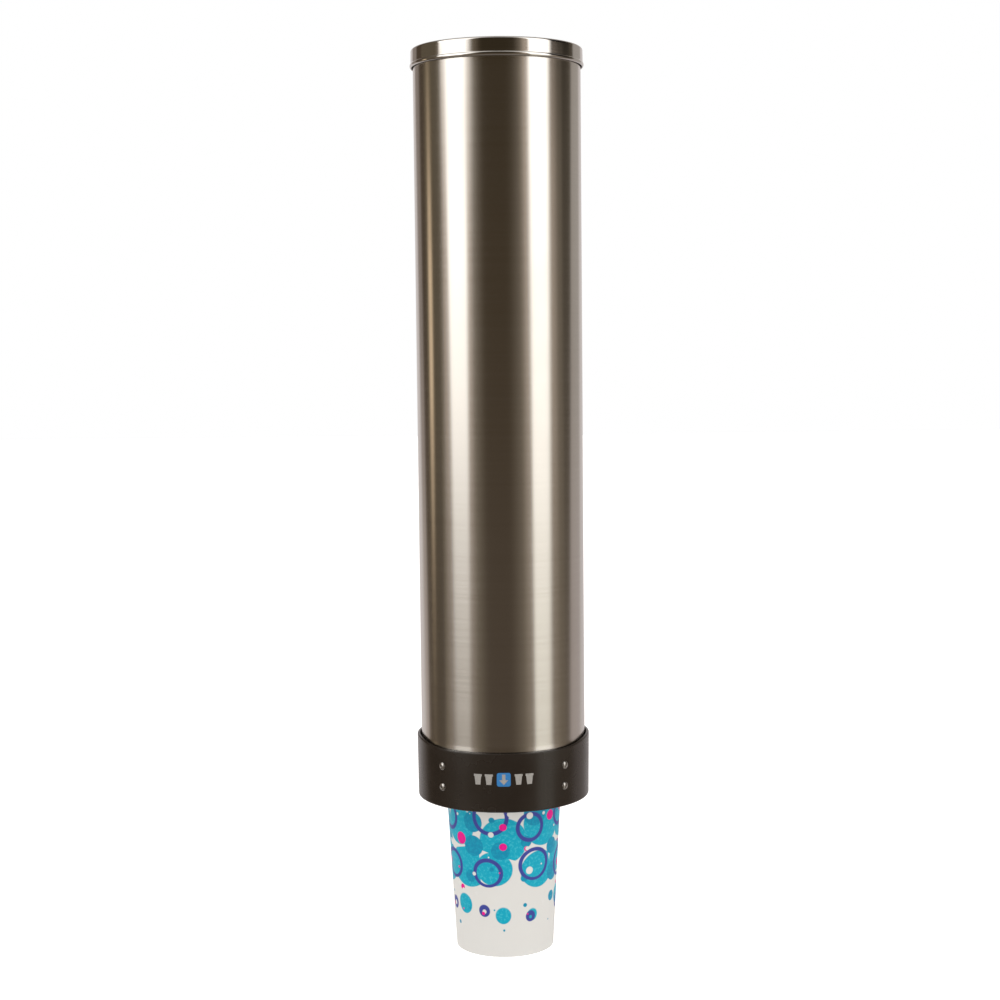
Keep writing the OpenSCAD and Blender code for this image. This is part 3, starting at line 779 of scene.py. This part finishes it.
def knurlTree(knurl):
    tree, given = startTree("knurlRing", {
        "Ribs": knurl["ribs"], "Foot radius": (cup["base"] - 2 * cup["paper"]) * mm,
        "Rib width": knurl["wide"] * mm, "Rib depth": knurl["deep"] * mm, "Rib height": knurl["tall"] * mm,
        "Foot gap": knurl["gap"] * mm, "Taper": taper})
    foot = {"Vertices": given["Ribs"], "Radius": given["Foot radius"]}
    circle = output(tree, "GeometryNodeMeshCircle", foot)
    rib = put(tree, "GeometryNodeMeshCylinder", {"Vertices": 10, "Radius": 0.5, "Depth": 1.0}).outputs["Mesh"]
    size = output(tree, "ShaderNodeCombineXYZ", {0: times(tree, given["Rib depth"], 2.0),
                                              1: given["Rib width"], 2: given["Rib height"]})
    middle = calc(tree, "MULTIPLY_ADD", given["Rib height"], 0.5, given["Foot gap"])
    lift = output(tree, "ShaderNodeCombineXYZ", {2: middle})
    rib = output(tree, "GeometryNodeTransform", {"Geometry": rib, "Translation": lift, "Scale": size})
    spot = put(tree, "ShaderNodeSeparateXYZ", {0: output(tree, "GeometryNodeInputPosition")}).outputs
    turn = output(tree, "ShaderNodeCombineXYZ", {2: calc(tree, "ARCTAN2", spot[1], spot[0])})
    turn = output(tree, "FunctionNodeEulerToRotation", {0: turn})
    stood = {"Points": circle, "Instance": rib, "Rotation": turn}
    ring = output(tree, "GeometryNodeInstanceOnPoints", stood)
    ring = output(tree, "GeometryNodeRealizeInstances", {"Geometry": ring})
    flat = output(tree, "ShaderNodeCombineXYZ", {0: spot[0], 1: spot[1]})
    out = output(tree, "ShaderNodeVectorMath", {0: flat}, operation="NORMALIZE")
    spread = {0: out, 3: times(tree, spot[2], given["Taper"])}
    offset = output(tree, "ShaderNodeVectorMath", spread, operation="SCALE")
    ring = output(tree, "GeometryNodeSetPosition", {"Geometry": ring, "Offset": offset})
    rings = put(tree, "GeometryNodeInstanceOnPoints", {"Points": given["Places"], "Instance": ring})
    return endTree(tree, rings.outputs[0], cupBoard)


knurls = knurlTree(knurl)
footLevels = [cup["rim"] - cup["height"] + i * cup["pitch"] for i in range(cup["count"])]
feet = [(axisX, axisY, footZ + level * mm) for level in footLevels]
dress(settled("knurlOfCup", knurls, feet[:1]), "cup", "cup_paper", [cupBoard])
dress(settled("knurlOfStack", knurls, feet[1:]), "stack", "cup_paper", [cupBoard])
print("cups made:", cup["count"], "each with", knurl["ribs"], "ribs in its foot")


# Wall plate and straps: the CAD shapes with their cut edges broken
broken = {"plate": 0.25, "strap": 0.2, "flatTurn": 0.5, "edgeTurn": 35.0, "segments": 2}


def edgesBroken(name, node, body, width):
    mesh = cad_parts[node].data.copy()
    work = bmesh.new()
    work.from_mesh(mesh)
    bmesh.ops.remove_doubles(work, verts=work.verts, dist=merged["wide"])
    flat = math.radians(broken["flatTurn"])
    bmesh.ops.dissolve_limit(work, angle_limit=flat, verts=work.verts, edges=work.edges)
    work.to_mesh(mesh)
    work.free()
    smoothed(mesh, sharp["sheets"])
    obj = placed(name, mesh)
    bevel = obj.modifiers.new("brokenEdge", "BEVEL")
    bevel.width, bevel.segments, bevel.harden_normals = width * mm, broken["segments"], True
    bevel.limit_method, bevel.angle_limit = "ANGLE", math.radians(broken["edgeTurn"])
    return dress(obj, body, "plate_steel", [plateSteel], node)


edgesBroken("backPlate", "wall_plate", "wall_plate", broken["plate"])
edgesBroken("upperStrap", "hanger_upper", "dispenser", broken["strap"])
edgesBroken("lowerStrap", "hanger_lower", "dispenser", broken["strap"])
for node in ("finger_front_left", "finger_front_right", "finger_rear_left", "finger_rear_right"):
    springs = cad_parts[node].data.materials
    springs.clear()
    springs.append(springSteel)
print("plate and straps given broken edges, spring fingers dressed")

# Camera, fitted to the photograph's outlines
camera = {"away": 1420.0, "height": 351.1, "aside": -0.7, "down": 4.901, "roll": -0.575, "lens": 66.41,
          "sensor": 36.0, "clip": (0.05, 100.0)}
down, roll = math.radians(camera["down"]), math.radians(camera["roll"])
ahead = Vector((0, math.cos(down), -math.sin(down)))
level = Vector((1, 0, 0))
upright = level.cross(ahead)
right = level * math.cos(roll) + upright * math.sin(roll)
above = upright * math.cos(roll) - level * math.sin(roll)
eye = Matrix((right, above, -ahead)).transposed().to_4x4()
stand = Vector((camera["aside"], -camera["away"], camera["height"])) * mm
eye.translation = Vector((axisX, axisY, footZ)) + stand
lensData = bpy.data.cameras.new("camera")
lensData.lens, lensData.sensor_width = camera["lens"], camera["sensor"]
lensData.clip_start, lensData.clip_end = camera["clip"]
cameraObject = placed("camera", lensData)
cameraObject.matrix_world = eye
scene.camera = cameraObject

# Studio: soft boxes and flags all round, painted one over another by direction.
# Directions are degrees from the camera's side, + to the right. Each edge is its direction, the width it
# fades over, and how far it shifts back per degree of height. "low" and "high" are the light at the foot and
# the head of the rise, and "above" keeps a panel to what is higher than that, which only the lid mirrors.
# An edge at 400 degrees is out of reach, so its panel runs on to the back.
studio = {
    "front": ((0.110, 0.085, 0.064), (0.072, 0.0525, 0.030)),
    "panels": {
        "rightShoulder": {"from": (23, 26, 0), "to": (116, 4, 0),
                          "low": (0.20, 0.165, 0.125), "high": (0.22, 0.185, 0.145)},
        "leftShoulder": {"from": (-98, 4, 0), "to": (-26, 18, 0),
                         "low": (0.17, 0.140, 0.100), "high": (0.20, 0.165, 0.125)},
        "leftBrown": {"from": (-135, 4, 0), "to": (-88, 4, 0),
                      "low": (0.105, 0.082, 0.060), "high": (0.142, 0.115, 0.080)},
        "rearGap": {"from": (-136, 4, 0), "to": (-120, 5, 0),
                    "low": (0.14, 0.108, 0.080), "high": (0.095, 0.07, 0.049)},
        "rightDark": {"from": (98, 8, 0), "to": (124, 4, 0),
                      "low": (0.165, 0.135, 0.105), "high": (0.10, 0.083, 0.062)},
        "rightGlow": {"from": (34, 9, 0), "to": (86, 12, 0),
                      "low": (0.24, 0.20, 0.155), "high": (0.56, 0.47, 0.39)},
        "leftGlow": {"from": (-82.5, 9, 0), "to": (-37, 8, 0),
                     "low": (0.21, 0.172, 0.135), "high": (0.58, 0.48, 0.40)},
        "overFlag": {"from": (75.5, 5, 0), "to": (113, 5, 0), "above": 9.6,
                     "low": (0.013, 0.010, 0.008), "high": (0.013, 0.010, 0.008)},
        "leftBox": {"from": (-72.0, 5, 0.43), "to": (-44.3, 5, -0.2),
                    "low": (0.32, 0.28, 0.228), "high": (2.3, 2.26, 2.2)},
        "overFront": {"from": (-24, 12, 0), "to": (26, 12, 0), "above": 9.6,
                      "low": (0.040, 0.030, 0.018), "high": (0.040, 0.030, 0.018)},
        "overBox": {"from": (-78.0, 5, 0.43), "to": (-39.5, 14, -0.2), "above": 9.6,
                    "low": (2.3, 2.26, 2.2), "high": (2.3, 2.26, 2.2)},
        "rightBox": {"from": (44.1, 5, 0.15), "to": (73.2, 9, -0.15),
                     "low": (0.87, 0.84, 0.735), "high": (2.3, 2.26, 2.2)},
        "backRight": {"from": (116.2, 6, -0.64), "to": (400, 1, 0),
                      "low": (0.52, 0.46, 0.44), "high": (0.47, 0.435, 0.40)},
        "backLeft": {"from": (-400, 1, 0), "to": (-131.2, 6, 0.37),
                     "low": (0.54, 0.47, 0.43), "high": (0.32, 0.27, 0.24)},
        "farRight": {"from": (145.8, 8, -0.51), "to": (400, 1, 0),
                     "low": (0.66, 0.615, 0.61), "high": (0.72, 0.67, 0.66)},
        "farLeft": {"from": (-400, 1, 0), "to": (-146.4, 8, 0.64),
                    "low": (0.74, 0.69, 0.68), "high": (0.74, 0.69, 0.68)}},
    "aboveFade": 1.0,
    # share of the high light at each height in degrees
    "rise": [(-15.9, 0.0), (-10.4, 0.03), (-8.2, 0.10), (-6.1, 0.28), (-3.3, 0.72), (0.5, 1.0)],
    "warmSpot": {"around": -109.0, "up": 0.6, "core": 2.8, "radius": 7.0, "light": (1.25, 0.97, 0.66)},
    "ceiling": {"from": 30.0, "to": 65.0, "most": 0.8, "light": (0.52, 0.50, 0.48)},
    "ground": {"from": -18.0, "to": -60.0, "most": 0.6, "light": (0.30, 0.28, 0.26)}}


def ramp(tree, value, stops):
    node = put(tree, "ShaderNodeValToRGB", {0: value})
    elements = node.color_ramp.elements
    for i, (at, colour) in enumerate(stops):
        element = elements[i] if i < 2 else elements.new(at)
        element.position, element.color = at, (*colour, 1.0)
    return node.outputs[0]


world = bpy.data.worlds.new("studio")
world.use_nodes = True
scene.world = world
sky = world.node_tree
sky.nodes.clear()
aim = put(sky, "ShaderNodeSeparateXYZ", {0: put(sky, "ShaderNodeTexCoord").outputs["Generated"]})
towards = times(sky, aim.outputs[1], -1.0)
around = calc(sky, "DEGREES", calc(sky, "ARCTAN2", aim.outputs[0], towards))
height = calc(sky, "DEGREES", calc(sky, "ARCSINE", aim.outputs[2]))
lowest, highest = studio["rise"][0][0], studio["rise"][-1][0]
share = ramp(sky, between(sky, height, lowest, highest, 0.0, 1.0),
             [((h - lowest) / (highest - lowest), (s,) * 3) for h, s in studio["rise"]])


def pastEdge(edge, direction):
    at, width, lean = edge
    shifted = calc(sky, "MULTIPLY_ADD", height, lean, around)
    ends = (0.0, 1.0) if direction > 0 else (1.0, 0.0)
    return between(sky, shifted, at - width / 2, at + width / 2, *ends, "SMOOTHSTEP")


light = blendColour(sky, share, *studio["front"])
for panel in studio["panels"].values():
    inside = times(sky, pastEdge(panel["from"], 1), pastEdge(panel["to"], -1))
    if "above" in panel:
        ends = (panel["above"] - studio["aboveFade"] / 2, panel["above"] + studio["aboveFade"] / 2)
        over = between(sky, height, *ends, 0.0, 1.0, "SMOOTHSTEP")
        inside = times(sky, inside, over)
    light = blendColour(sky, inside, light, blendColour(sky, share, panel["low"], panel["high"]))

spot = studio["warmSpot"]
aside = calc(sky, "SUBTRACT", around, spot["around"])
upOff = calc(sky, "SUBTRACT", height, spot["up"])
distance = calc(sky, "SQRT", calc(sky, "MULTIPLY_ADD", aside, aside, times(sky, upOff, upOff)))
inside = between(sky, distance, spot["core"], spot["radius"], 1.0, 0.0, "SMOOTHSTEP")
light = blendColour(sky, inside, light, spot["light"])
for name in ("ceiling", "ground"):
    zone = studio[name]
    inside = between(sky, height, zone["from"], zone["to"], 0.0, zone["most"], "SMOOTHSTEP")
    light = blendColour(sky, inside, light, zone["light"])
lit = output(sky, "ShaderNodeBackground", {"Color": light, "Strength": 1.0})
seen = output(sky, "ShaderNodeBackground", {"Color": (1, 1, 1, 1), "Strength": 1.0})
ray = put(sky, "ShaderNodeLightPath").outputs["Is Camera Ray"]
both = output(sky, "ShaderNodeMixShader", {0: ray, 1: lit, 2: seen})
put(sky, "ShaderNodeOutputWorld", {0: both})

# Floor, and soft lamps that the steel doesn't mirror
floor = {"below": 1.25, "half": 30.0, "light": 0.8, "rough": 0.9, "cloudScale": 3.0,
         "dark": (0.80, 0.79, 0.78), "pale": (0.84, 0.83, 0.82)}
lampTint = (1.0, 0.97, 0.94)
lamps = {"overhead": {"at": (0.9, -1.1, 1.9), "size": 1.6, "watts": 5.0},
         "fill": {"at": (1.9, -1.5, 0.2), "size": 1.3, "watts": 4.4}}
floorMesh = bpy.data.meshes.new("floor")
corners = [(x * floor["half"], y * floor["half"], footZ - floor["below"])
           for x, y in ((-1, -1), (1, -1), (1, 1), (-1, 1))]
floorMesh.from_pydata(corners, [], [(0, 1, 2, 3)])
floorObject = placed("floor", floorMesh)
floorWhite, floorTree, floorSkin = startMaterial("floorWhite")
cloud = noise(floorTree, None, floor["cloudScale"], rough=softRough)
floorTone = blendColour(floorTree, cloud, floor["dark"], floor["pale"])
fill(floorTree, floorSkin, {"Base Color": floorTone, "Roughness": floor["rough"],
                            "Emission Color": (1, 1, 1, 1), "Emission Strength": floor["light"]})
floorMesh.materials.append(floorWhite)
floorObject.visible_glossy = False
aimAt = Vector((axisX, axisY, footZ))
for name, lamp in lamps.items():
    data = bpy.data.lights.new(name, "AREA")
    data.shape, data.size, data.energy, data.color = "DISK", lamp["size"], lamp["watts"], lampTint
    lampObject = placed(name, data)
    lampObject.location = Vector(lamp["at"]) + aimAt
    lampObject.rotation_euler = (aimAt - lampObject.location).to_track_quat("-Z", "Y").to_euler()
    lampObject.visible_glossy = False
print("camera and studio set")
